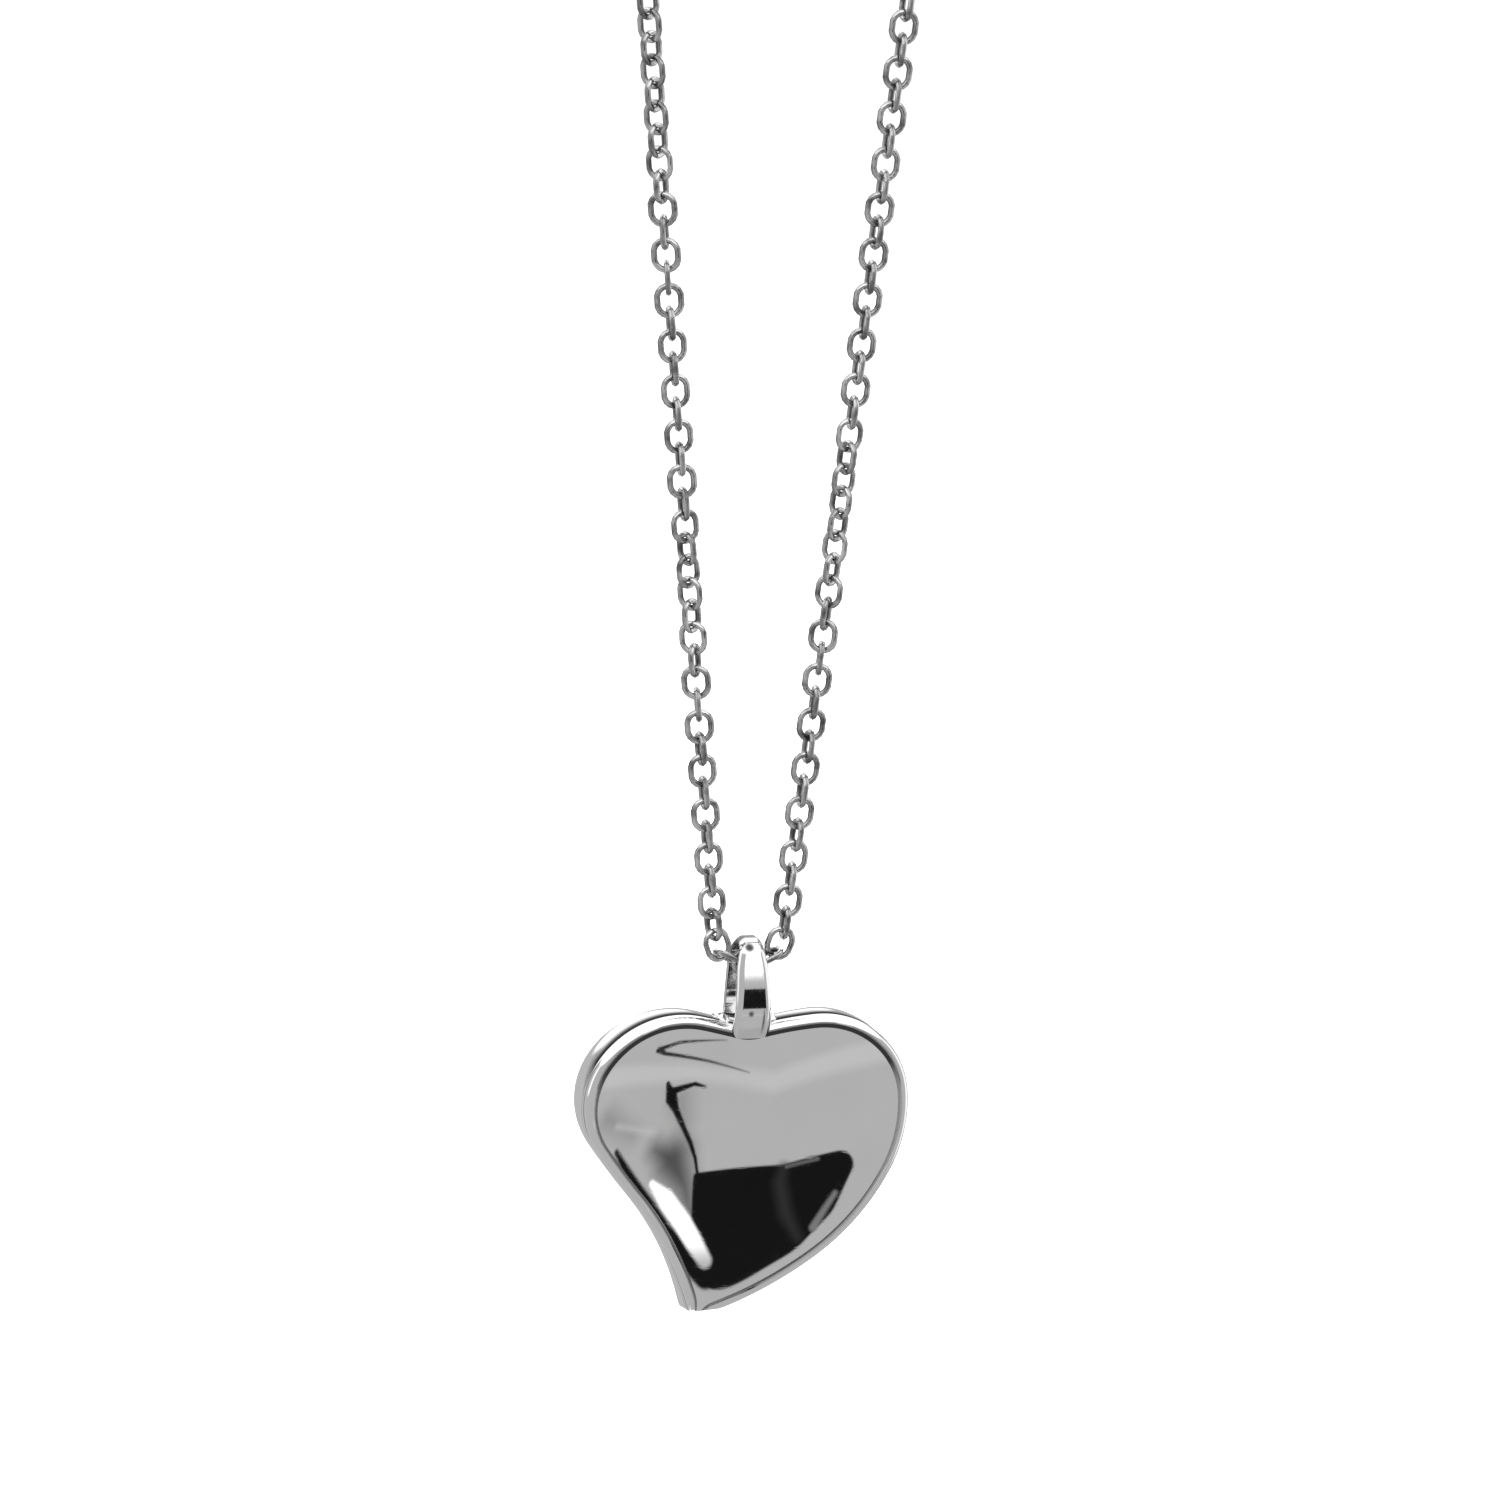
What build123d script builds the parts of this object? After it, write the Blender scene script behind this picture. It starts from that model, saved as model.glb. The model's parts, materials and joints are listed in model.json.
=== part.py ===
from build123d import *
import os
from math import acos, cos, degrees, pi, radians, sin, sqrt

# Heart pendant on a cable chain, in millimetres. The loop hangs in the XZ plane with the heart's
# front towards -Y. The origin is the underside of the clasp, where the loop sits at the nape.
# Each piece is modelled about the chain's seat in the bail, and then moved down to its place.

# Heart: rolled rims, a shallow round hollow in its front, and a tip cut back towards the front
heart_width = 20.3
heart_thickness = 3.4
front_roll = 0.6
back_roll = 0.6
dish_radius = 36.0
dish_centre = (0.2, -10.6)
dish_edge = 8.9
tip_slope = 9.7

# Bail: a tapered strap round the chain
bail_bore = 1.1
strap_thickness = 0.5
strap_rounding = 0.1
crown_width = 1.3
shoulder_width = 1.8
foot_width = 2.6
bail_drop = 3.88
foot_length = 1.3
foot_sink = 0.6

# Chain: round wire links, each a quarter turn from the last
chain_length = 450.0
link_pitch = 1.35
link_width = 1.8
wire_diameter = 0.32
link_clearance = 0.1
linked_run = 135.0
strand_lean = 5.8
bend_play = 0.16
end_gap = 0.15

# Headings of the links beside the bail, in degrees above the level
first_headings = (26.0, 70.0)

# Slow twist of each strand: distance from the bail, and degrees of twist there
right_twist = ((0, 0), (17, 0), (27, 45), (36, 90), (60, 90), (100, 130), (150, 180))
left_twist = ((0, 20), (8, 0), (16, 0), (23, -45), (30, -90), (40, -90), (52, -140), (150, -180))

# Clasp: a plain ring with an eye, lying flat
clasp_ring_radius = 2.2
clasp_wire = 0.9
clasp_eye_radius = 0.8
clasp_eye_wire = 0.5

# Tangent arcs of the heart's outline, from the notch down each side to the blunt tip:
# radius as a share of the heart's width, and turn in degrees, to the left if positive
right_side = ((0.11, 14.0), (1.36, -7.2), (0.262, -90.3), (0.451, -32.9), (0.687, -29.1), (1.067, -19.6))
left_side = ((0.11, -16.0), (7.353, 0.9), (0.298, 69.2), (0.243, 70.5), (2.353, 4.8), (0.884, -26.5))

link_half_length = (link_pitch + wire_diameter + link_clearance) / 2
link_half_width = (link_width - wire_diameter) / 2


def along(heading):
    """A step one long, at a heading in degrees above the level."""
    return Vector(cos(radians(heading)), 0, sin(radians(heading)))


def strand_places(run):
    """Centre, heading and distance of each link from the seat up the right-hand strand."""
    places = []
    centre, heading = Vector(0, 0, 0), 0.0
    while (len(places) + 1) * link_pitch <= run:
        number = len(places)
        turned = first_headings[number] if number < len(first_headings) else 90 - strand_lean
        play = bend_play * (turned - heading) / 90
        centre += (along(heading) + along(turned)) * (link_pitch / 2 - play)
        heading = turned
        places.append((centre, heading, (number + 1) * link_pitch))
    return places


# The strands run straight from the bends beside the bail until they meet the arc round the nape
straight_foot, _, bent_run = strand_places(linked_run)[len(first_headings)]
nape_turn = pi / 2 + radians(strand_lean)
strand_slope = sin(radians(strand_lean))
strand_rise = cos(radians(strand_lean))
straight_run = (chain_length / 2 - bent_run - straight_foot.X * nape_turn / strand_rise) / (
    1 + strand_slope * nape_turn / strand_rise
)
nape_radius = (straight_foot.X + straight_run * strand_slope) / strand_rise
nape_height = straight_foot.Z + straight_run * strand_rise + nape_radius * strand_slope
nape_centre = Vector(0, 0, nape_height)
clasp_height = nape_height + nape_radius
seat_height = -clasp_height - clasp_wire / 2


def tangent_arcs(start, heading, table):
    """A chain of arcs in the XY plane, each one tangent to the one before."""
    arcs = []
    for share, turn in table:
        direction = (cos(radians(heading)), sin(radians(heading)))
        arcs.append(JernArc(start, direction, share * heart_width, turn))
        start = arcs[-1] @ 1
        heading += turn
    return arcs


def heart():
    """The heart below the chain's seat: X right, Y up, Z to the front."""
    notch = (0, -bail_drop)
    right = tangent_arcs(notch, 0, right_side)
    left = tangent_arcs(notch, 180, left_side)
    tip = Line(right[-1] @ 1, left[-1] @ 1)
    outline = make_face(right + left + [tip])
    half = heart_thickness / 2
    blank = Pos(0, 0, -half) * extrude(outline, 2 * heart_thickness)
    rise = sqrt(dish_radius**2 - dish_edge**2)
    blank -= Pos(*dish_centre, half + rise) * Sphere(dish_radius)
    blank = fillet(blank.edges().group_by(Axis.Z)[0], back_roll)
    dish = blank.faces().filter_by(GeomType.SPHERE).sort_by(SortBy.AREA)[-1]
    rolled = fillet(dish.edges(), front_roll)
    waste_align = (Align.CENTER, Align.MAX, Align.CENTER)
    waste = Box(heart_width, heart_thickness, 4 * heart_thickness, align=waste_align)
    return rolled - Pos(0, (tip @ 1).Y, -half) * Rot(-tip_slope, 0, 0) * waste


def bail():
    """The strap over the chain, with its feet sunk in the heart, in the heart's frame."""
    outer = bail_bore + strap_thickness
    foot = -bail_drop - foot_length
    hole_end = -bail_drop - strap_thickness
    knee = (-bail_drop + foot_length, outer)
    ankle = (-bail_drop, outer - foot_sink / 4)
    toe = (foot, outer - foot_sink)
    with BuildSketch() as side:
        with BuildLine():
            Polyline(toe, (foot, -outer), (0, -outer))
            ThreePointArc((0, -outer), (outer, 0), (0, outer))
            Line((0, outer), knee)
            ThreePointArc(knee, ankle, toe)
        make_face()
        with BuildLine():
            ThreePointArc((0, -bail_bore), (bail_bore, 0), (0, bail_bore))
            Polyline((0, bail_bore), (hole_end, bail_bore), (hole_end, -bail_bore), (0, -bail_bore))
        make_face(mode=Mode.SUBTRACT)
    profile = Plane((0, 0, 0), x_dir=(0, 1, 0), z_dir=(1, 0, 0)) * side.sketch
    strap = extrude(profile, foot_width, both=True)
    right_half = [(crown_width / 2, outer), (shoulder_width / 2, 0), (foot_width / 2, foot)]
    left_half = [(-x, y) for x, y in reversed(right_half)]
    front = make_face(Polyline(*right_half, *left_half, close=True))
    strap = strap & extrude(front, 2 * outer, both=True)
    edges = strap.edges()
    return fillet(edges - edges.filter_by(Axis.X) - edges.filter_by(Axis.Z), strap_rounding)


def pendant():
    """Heart and bail, soldered into one, with its front towards -Y."""
    return Plane.XZ * (heart() + bail())


def plain_link():
    """A round wire closed into a short slot, in the XY plane with its length along X."""
    straight = link_half_length - link_half_width
    right = CenterArc((straight, 0), link_half_width, -90, 180)
    left = CenterArc((-straight, 0), link_half_width, 90, 180)
    path = Wire([right, Line(right @ 1, left @ 0), left, Line(left @ 1, right @ 0)])
    section = Plane(right @ 0, z_dir=(1, 0, 0)) * Circle(wire_diameter / 2)
    return sweep(section, path)


def twist(table, distance):
    """Degrees of twist at a distance up the strand, read off its table."""
    for (near, low), (far, high) in zip(table, table[1:]):
        if distance <= far:
            return low + (high - low) * (distance - near) / (far - near)
    return table[-1][1]


def chain_front():
    """The links in the bail and up both strands, loose in each other."""
    model = plain_link()
    links = [Plane.XZ * model]
    for side, table in ((1, right_twist), (-1, left_twist)):
        for number, (centre, heading, distance) in enumerate(strand_places(linked_run), 1):
            roll = radians(90 * number + twist(table, distance))
            length, up = along(heading), along(heading + 90) * cos(roll)
            length = Vector(side * length.X, 0, length.Z)
            across = Vector(side * up.X, sin(roll), up.Z)
            place = Plane((side * centre.X, 0, centre.Z), x_dir=length, z_dir=length.cross(across))
            links.append(place * model)
    return Compound(links)


def chain_back():
    """The rest of both strands as a tube as wide as the links, straight and then round the nape."""
    centre, heading, _ = strand_places(linked_run)[-1]
    foot = centre + along(heading) * (link_half_length + wire_diameter / 2 + end_gap)
    tubes = []
    for side, reach in ((1, clasp_ring_radius + clasp_wire / 2), (-1, eye_end)):
        last = degrees(acos((reach + side * clasp_shift + end_gap) / nape_radius))
        bends = [-strand_lean, (last - strand_lean) / 2, last]
        points = [foot] + [nape_centre + along(bend) * nape_radius for bend in bends]
        points = [Vector(side * point.X, 0, point.Z) for point in points]
        path = Wire([Line(points[0], points[1]), ThreePointArc(*points[1:])])
        section = Plane(points[0], z_dir=points[1] - points[0]) * Circle(link_width / 2)
        tubes.append(sweep(section, path))
    return Compound(tubes)


# The clasp's eye reaches further than its ring, so both are shifted to stand evenly over the nape
eye_end = clasp_ring_radius + 2 * clasp_eye_radius + clasp_eye_wire / 2
clasp_shift = (eye_end - clasp_ring_radius - clasp_wire / 2) / 2


def clasp():
    """A ring, with a small eye for the other end of the chain."""
    ring = Torus(clasp_ring_radius, clasp_wire / 2)
    eye = Pos(-clasp_ring_radius - clasp_eye_radius, 0, 0) * Torus(clasp_eye_radius, clasp_eye_wire / 2)
    return Pos(clasp_shift, 0, clasp_height) * (ring + eye)


if __name__ == "__main__":
    os.makedirs("parts", exist_ok=True)
    for piece in (pendant, chain_front, chain_back, clasp):
        shape = Pos(0, 0, seat_height) * piece()
        export_step(shape, f"parts/{piece.__name__}.step")
    print("seat height", round(seat_height, 2), "nape radius", round(nape_radius, 2))
    print("straight run", round(straight_run, 2), "links", 2 * len(strand_places(linked_run)) + 1)
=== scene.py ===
# Heart pendant on a fine cable chain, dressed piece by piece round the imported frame
import json
import bpy
import numpy as np
from mathutils import Matrix, Vector


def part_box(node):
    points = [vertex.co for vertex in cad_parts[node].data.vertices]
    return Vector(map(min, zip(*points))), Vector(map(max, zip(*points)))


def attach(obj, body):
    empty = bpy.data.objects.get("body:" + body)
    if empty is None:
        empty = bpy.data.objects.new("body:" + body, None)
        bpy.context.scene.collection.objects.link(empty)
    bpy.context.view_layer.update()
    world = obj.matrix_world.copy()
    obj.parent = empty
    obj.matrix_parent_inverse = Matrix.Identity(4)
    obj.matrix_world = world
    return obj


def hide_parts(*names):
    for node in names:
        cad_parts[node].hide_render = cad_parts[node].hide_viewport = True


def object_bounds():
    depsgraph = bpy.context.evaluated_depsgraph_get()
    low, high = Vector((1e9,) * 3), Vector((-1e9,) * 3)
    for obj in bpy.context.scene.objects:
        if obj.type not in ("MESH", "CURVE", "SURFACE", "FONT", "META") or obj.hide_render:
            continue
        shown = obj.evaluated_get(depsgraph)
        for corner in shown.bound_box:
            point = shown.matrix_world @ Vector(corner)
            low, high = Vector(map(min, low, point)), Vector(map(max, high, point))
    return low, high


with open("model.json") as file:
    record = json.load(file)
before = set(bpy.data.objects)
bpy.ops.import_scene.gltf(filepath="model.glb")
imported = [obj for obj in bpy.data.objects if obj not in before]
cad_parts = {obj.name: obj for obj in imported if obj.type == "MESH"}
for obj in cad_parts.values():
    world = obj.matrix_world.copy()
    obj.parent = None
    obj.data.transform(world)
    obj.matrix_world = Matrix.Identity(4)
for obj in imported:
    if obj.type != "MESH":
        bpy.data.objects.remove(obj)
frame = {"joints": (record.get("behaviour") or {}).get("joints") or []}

mm = 0.001
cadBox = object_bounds()
seat = np.array(frame["joints"][0]["pos_m"])     # where the bail hangs on the chain
print("frame loaded, seat at", seat)


# Array helpers

def softStep(value, low, high):
    # 0 below low and 1 above high, and 3t^2 - 2t^3 between, where t is the share of the way
    share = np.clip((value - low) / (high - low), 0, 1)
    return share * share * (3 - 2 * share)


def headingPath(start, heading, table, count, softening=0.0, closed=False, substeps=8):
    # table holds (length, turn) of arcs, with turn in degrees; a length of 0 is a sharp corner.
    # The heading is summed along the length, and each point is the start plus the sum of
    # (cos, sin) of the headings before it. A closed path's headings are first softened by a bell
    # curve, and the gap left at its end is spread over it. Returns the points, their headings
    # and their distances along the path.
    lengths = np.array([row[0] for row in table], float)
    turns = np.radians([row[1] for row in table])
    ends = np.cumsum(lengths)
    total = ends[-1]
    fine = substeps * count
    middle = (np.arange(fine) + 0.5) * total / fine
    share = np.clip((middle[:, None] - (ends - lengths)) / np.maximum(lengths, 1e-9), 0, 1)
    headings = np.radians(heading) + share @ turns
    if closed:
        drift = turns.sum() * middle / total
        waves = np.fft.rfftfreq(fine, total / fine)
        fade = np.exp(-2 * (np.pi * softening * waves) ** 2)
        headings = np.fft.irfft(np.fft.rfft(headings - drift) * fade, fine) + drift
    steps = np.stack([np.cos(headings), np.sin(headings)], 1) * total / fine
    points = np.concatenate([np.zeros((1, 2)), np.cumsum(steps, 0)])
    if closed:
        points -= np.linspace(0, 1, fine + 1)[:, None] * points[-1]
    picks = np.arange(count) * substeps if closed else np.linspace(0, fine, count).astype(int)
    between = np.concatenate([headings[:1], (headings[1:] + headings[:-1]) / 2, headings[-1:]])
    return np.array(start) + points[picks], between[picks], picks * total / fine


def gridFaces(rows, columns):
    # Four corners of each cell of a grid whose columns close into a ring
    row, column = np.meshgrid(np.arange(rows - 1), np.arange(columns), indexing="ij")
    here, beside = row * columns + column, row * columns + (column + 1) % columns
    return np.stack([here, beside, beside + columns, here + columns], -1).reshape(-1, 4)


def closedFaces(rows, columns):
    # The grid's cells, and triangles that join its first and last ring to two poles, whose points
    # follow the grid's
    ring = np.arange(columns)
    after, last = np.roll(ring, -1), (rows - 1) * columns
    pole = np.full(columns, rows * columns)
    caps = [np.stack([pole, after, ring], -1), np.stack([pole + 1, last + ring, last + after], -1)]
    return [gridFaces(rows, columns), np.concatenate(caps)]


def placed(x, up, front):
    # Local x, up and front, about the seat, as points of the frame: front is towards -Y
    return np.stack([seat[0] + x, seat[1] - front, seat[2] + up], -1)


def makePiece(name, points, faceSets, body, node, material, tarnish=None, flat=None):
    # One smooth mesh from arrays; all faces are reversed if the volume they hold, the sum of
    # a . (b x c) / 6 over their triangles, comes out negative. The painted shade, with painted dark
    # reflections and a dark joint, is 0 to 1 at each point, and faces are flat where all their points are.
    volume = 0.0
    for faces in faceSets:
        for corner in range(1, faces.shape[1] - 1):
            a, b, c = points[faces[:, 0]], points[faces[:, corner]], points[faces[:, corner + 1]]
            volume += (a * np.cross(b, c)).sum() / 6
    if volume < 0:
        faceSets = [faces[:, ::-1] for faces in faceSets]
    loops = np.concatenate([faces.ravel() for faces in faceSets]).astype(np.int32)
    sizes = np.concatenate([np.full(len(faces), faces.shape[1]) for faces in faceSets])
    mesh = bpy.data.meshes.new(name)
    mesh.vertices.add(len(points))
    mesh.vertices.foreach_set("co", points.astype(np.float32).ravel())
    mesh.loops.add(len(loops))
    mesh.loops.foreach_set("vertex_index", loops)
    mesh.polygons.add(len(sizes))
    mesh.polygons.foreach_set("loop_start", (np.cumsum(sizes) - sizes).astype(np.int32))
    mesh.update(calc_edges=True)
    flat = np.zeros(len(points), bool) if flat is None else flat
    smooth = ~np.concatenate([flat[faces].all(1) for faces in faceSets])
    mesh.polygons.foreach_set("use_smooth", smooth)
    tarnish = np.zeros(len(points)) if tarnish is None else tarnish
    # Per point, 0 to 1: painted shade and painted dark reflections, and on the heart a dark joint in the seam
    mesh.attributes.new("tarnish", "FLOAT", "POINT").data.foreach_set("value", tarnish.astype(np.float32))
    piece = bpy.data.objects.new(name, mesh)
    bpy.context.scene.collection.objects.link(piece)
    mesh.materials.append(material)
    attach(piece, body)
    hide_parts(node)
    print(name, len(points), "points,", round(abs(volume) * 1e9, 1), "mm3")


# Shader sums

class Term:
    # One output socket of a node tree; sums on it add Math nodes, and node() adds any other
    def __init__(self, tree, socket=None):
        self.tree, self.socket = tree, socket

    def node(self, kind, settings=None, values=None, output=0):
        # settings go on the node first; values are numbers or Terms for its input sockets
        made = self.tree.nodes.new("ShaderNode" + kind)
        for name, value in (settings or {}).items():
            setattr(made, name, value)
        for key, value in (values or {}).items():
            if isinstance(value, Term):
                self.tree.links.new(value.socket, made.inputs[key])
            else:
                made.inputs[key].default_value = value
        return Term(self.tree, made.outputs[output])

    def math(self, operation, *values):
        return self.node("Math", {"operation": operation}, dict(enumerate(values)))

    def vector(self, operation, values, output=0):
        return self.node("VectorMath", {"operation": operation}, values, output)

    def __add__(self, other):
        return self.math("ADD", self, other)

    def __radd__(self, other):
        return self.math("ADD", other, self)

    def __sub__(self, other):
        return self.math("SUBTRACT", self, other)

    def __rsub__(self, other):
        return self.math("SUBTRACT", other, self)

    def __mul__(self, other):
        return self.math("MULTIPLY", self, other)

    def __rmul__(self, other):
        return self.math("MULTIPLY", other, self)

    def __truediv__(self, other):
        return self.math("DIVIDE", self, other)

    def __pow__(self, other):
        return self.math("POWER", self, other)

    def __abs__(self):
        return self.math("ABSOLUTE", self)

    def step(self, low, high):
        return self.node("MapRange", {"interpolation_type": "SMOOTHSTEP"}, {0: self, 1: low, 2: high})

    def mix(self, factor, a, b):
        # Sockets 0, 6 and 7 are the factor and the two colours, and output 2 is their mix
        return self.node("Mix", {"data_type": "RGBA"}, {0: factor, 6: a, 7: b}, output=2)


def mostOf(a, b):
    return a.math("MAXIMUM", a, b)


def leastOf(a, b):
    return a.math("MINIMUM", a, b)


# Materials

# What every silver shares: the noise in its clouds and hairlines, where each starts and is full,
# and the power by which the painted shade and the dark joint make it matt
grain = dict(cloudDetail=4.0, mistFrom=(0.35, 0.75), hairDetail=3.0, hairRoughness=0.7, hairFrom=(0.5, 0.8),
             mattPower=4.0)


def silver(name, look):
    # Polished silver: clouds shift the colour and gloss, fine hairlines the gloss and relief, and
    # the mesh's painted shade and dark joint turn it dark and, as 1 - that value^mattPower, from metal to
    # matt
    material = bpy.data.materials.new(name)
    material.use_nodes = True
    tree = material.node_tree
    shader = tree.nodes["Principled BSDF"]
    shader.inputs["Specular IOR Level"].default_value = 0.0        # so that the painted shade doesn't shine
    term = Term(tree)
    place = term.node("TexCoord", output="Object")
    cloud = term.node("TexNoise", values={
        "Vector": place, "Scale": look["cloudScale"], "Detail": grain["cloudDetail"]})
    stretched = term.node("Mapping", values={
        "Vector": place, "Rotation": look["hairTurn"], "Scale": look["hairStretch"]})
    lines = term.node("TexNoise", values={
        "Vector": stretched, "Scale": 1.0,
        "Detail": grain["hairDetail"], "Roughness": grain["hairRoughness"]})
    mist = cloud.step(*grain["mistFrom"])
    hair = lines.step(*grain["hairFrom"])
    # Painted shade, painted dark reflections and the heart's dark joint, 0 to 1, from the mesh
    tarnish = term.node("Attribute", {"attribute_name": "tarnish"}, output="Fac")
    clean = term.mix(mist, (*look["bright"], 1), (*look["dull"], 1))
    # Blended to the dark colour where shade is painted, and at the heart's dark joint
    colour = term.mix(tarnish, clean, (*look["tarnished"], 1))
    metal = 1 - tarnish ** grain["mattPower"]
    gloss = look["roughness"] + mist * look["mistGloss"] + hair * look["hairGloss"]
    relief = term.node("Bump", values={
        "Strength": look["bump"], "Distance": look["depth"], "Height": hair})
    tree.links.new(colour.socket, shader.inputs["Base Color"])
    tree.links.new(metal.socket, shader.inputs["Metallic"])
    tree.links.new(gloss.socket, shader.inputs["Roughness"])
    tree.links.new(relief.socket, shader.inputs["Normal"])
    return material


heartSilver = silver("heartSilver", dict(
    bright=(0.93, 0.93, 0.935), dull=(0.9, 0.898, 0.895), tarnished=(0.02, 0.02, 0.021),
    roughness=0.015, mistGloss=0.012, hairGloss=0.03,
    cloudScale=220.0, hairTurn=(0.3, 0.5, 0.9), hairStretch=(600.0, 9000.0, 4000.0),
    bump=0.12, depth=0.0015 * mm))
bailSilver = silver("bailSilver", dict(
    bright=(0.93, 0.93, 0.935), dull=(0.87, 0.868, 0.865), tarnished=(0.05, 0.05, 0.052),
    roughness=0.05, mistGloss=0.03, hairGloss=0.06,
    cloudScale=700.0, hairTurn=(0.0, 0.2, 0.1), hairStretch=(9000.0, 9000.0, 900.0),
    bump=0.15, depth=0.002 * mm))
chainSilver = silver("chainSilver", dict(
    bright=(0.93, 0.93, 0.935), dull=(0.2, 0.2, 0.198), tarnished=(0.03, 0.03, 0.031),
    roughness=0.05, mistGloss=0.06, hairGloss=0.05,
    cloudScale=1100.0, hairTurn=(0.4, 0.1, 0.2), hairStretch=(5000.0, 5000.0, 1500.0),
    bump=0.2, depth=0.003 * mm))
claspSilver = silver("claspSilver", dict(
    bright=(0.91, 0.91, 0.915), dull=(0.80, 0.795, 0.79), tarnished=(0.2, 0.2, 0.2),
    roughness=0.07, mistGloss=0.05, hairGloss=0.06,
    cloudScale=500.0, hairTurn=(0.0, 0.3, 0.7), hairStretch=(7000.0, 2500.0, 7000.0),
    bump=0.2, depth=0.003 * mm))
print("materials made")


# Heart

heart = dict(
    width=20.3 * mm, thickness=3.4 * mm, notchDrop=3.85 * mm, softening=0.16 * mm,
    # Outline: radius as a share of the width, and turn in degrees, from the notch down each side
    rightSide=((0.11, 14.0), (1.36, -7.2), (0.262, -90.3), (0.451, -32.9), (0.687, -29.1), (1.067, -19.6)),
    leftSide=((0.11, -16.0), (7.353, 0.9), (0.298, 69.2), (0.243, 70.5), (2.353, 4.8), (0.884, -26.5)),
    # Tip: its width and its turn from the right side, and the lean and softness of its cut
    tipWidth=1.117 * mm, tipTurn=5.0, tipSlope=9.7, tipEase=0.05 * mm, tipPasses=3,
    # Both rolls lose this share of their radius beside the tip's left corner
    tipShare=0.62, tipReach=0.7 * mm, frontRoll=0.6 * mm, backRoll=0.6 * mm,
    dishRadius=36 * mm, dishCentre=(0.2 * mm, -10.6 * mm), dishEdge=8.9 * mm, dishEase=1.5,
    # Wall: a seam and a wide shallow lip, and a curve in towards the back; the seam's rows reach
    # past it by this many of its widths
    seamGap=0.2 * mm, seamDepth=0.07 * mm, seamWidth=0.07 * mm, seamReach=2.2,
    lipDepth=0.02 * mm, lipWidth=0.5 * mm, shoulderFrom=-0.3 * mm, shoulderCurve=0.09 / mm,
    backHollow=0.1 * mm,
    # A dark joint in the seam, darkened and widened by painted shade on the upper side, and painted shade on
    # the back's edge, both of which grow over these heights up the sides
    upperFrom=(-8 * mm, -5.5 * mm), seamFaint=0.15, seamDark=1.0, seamSpread=0.8 * mm, backDark=0.35,
    # A painted dark reflection along the dish's edge: darkness on the left and right, the stretch between
    # them, the share of the roll it takes and what is added to that at the top, and its soft end
    lineLeft=0.9, lineRight=0.6, lineSide=(-3 * mm, 3 * mm),
    lineShare=0.15, lineTop=0.15, lineSoft=(0.7, 1.3),
    columns=720, dishRows=46, rollRows=20, wallRows=8, seamRows=9, backRows=14)


def outlineTable(size):
    # (length, turn) of each arc clockwise from the notch: down the right, over the tip, up the
    # left; a length is the radius times the turn. The last corner turns from the tip's heading
    # to the end of the left side, walked backwards (180) and a whole turn on (360).
    right = [(share * size["width"] * abs(np.radians(turn)), turn) for share, turn in size["rightSide"]]
    left = [(share * size["width"] * abs(np.radians(turn)), -turn) for share, turn in size["leftSide"]]
    endRight = sum(turn for _, turn in size["rightSide"])
    endLeft = 180 + sum(turn for _, turn in size["leftSide"])
    lastCorner = endLeft - (180 + 360) - endRight - size["tipTurn"]
    tip = [(0.0, size["tipTurn"]), (size["tipWidth"], 0.0), (0.0, lastCorner)]
    return right + tip + left[::-1]


def sphereFront(middle, radius, flat):
    # How far to the front the near side of a sphere lies over flat points: its centre's own
    # distance less sqrt(radius^2 - distance from the centre^2)
    return middle[2] - np.sqrt(radius ** 2 - ((flat - middle[:2]) ** 2).sum(-1))


def heartFront(size, outline, inward, roll, middle):
    # Roll: a ball of its radius touches the wall and the dish's sphere, so its centre lies at
    # dish radius + roll from the sphere's centre, and the roll is the arc between both touches,
    # (sin((1 - t) w) a + sin(t w) b) / sin w. Dish: rings from the middle to the roll's edge,
    # closer together there by the power dishEase.
    ball = outline + inward * roll[:, None]
    wallTop = sphereFront(middle, size["dishRadius"] + roll, ball)
    ball = np.concatenate([ball, wallTop[:, None]], 1)
    touch = (middle - ball) / (size["dishRadius"] + roll)[:, None]
    outward = np.concatenate([-inward, np.zeros((len(inward), 1))], 1)
    wide = np.arccos((touch * outward).sum(1))[:, None]
    share = np.linspace(0, 1, size["rollRows"])[:, None, None]
    arc = (np.sin((1 - share) * wide) * touch + np.sin(share * wide) * outward) / np.sin(wide)
    rollGrid = ball + arc * roll[:, None]
    share = 1 - (1 - np.arange(1, size["dishRows"]) / size["dishRows"])[:, None, None] ** size["dishEase"]
    flat = middle[:2] + share * (rollGrid[0, :, :2] - middle[:2])
    depth = sphereFront(middle, size["dishRadius"], flat)
    return np.concatenate([np.concatenate([flat, depth[..., None]], -1), rollGrid]), wallTop


def heartWall(size, outline, inward, wallTop, wallFoot):
    # Straight down, drawn in by two bell curves, a fine one at the seam and a wide lip, and by
    # the square of the depth past the shoulder. Also returns each point's height over the seam,
    # and how far the foot is drawn in.
    seam = wallTop - size["seamGap"]
    edge = size["seamReach"] * size["seamWidth"]
    share = np.linspace(0, 1, size["wallRows"] + 1)[1:, None]
    above = wallTop + (seam + edge - wallTop) * share
    groove = np.linspace(seam + edge, seam - edge, size["seamRows"] + 1)[1:]
    below = seam - edge + (wallFoot - (seam - edge)) * share
    height = np.concatenate([above, groove, below])
    drawn = size["seamDepth"] * np.exp(-((height - seam) / size["seamWidth"]) ** 2)
    drawn += size["lipDepth"] * np.exp(-(height / size["lipWidth"]) ** 2)
    drawn += size["shoulderCurve"] * np.maximum(size["shoulderFrom"] - height, 0) ** 2
    grid = np.concatenate([outline + inward * drawn[..., None], height[..., None]], -1)
    return grid, height - seam, drawn[-1]


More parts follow.
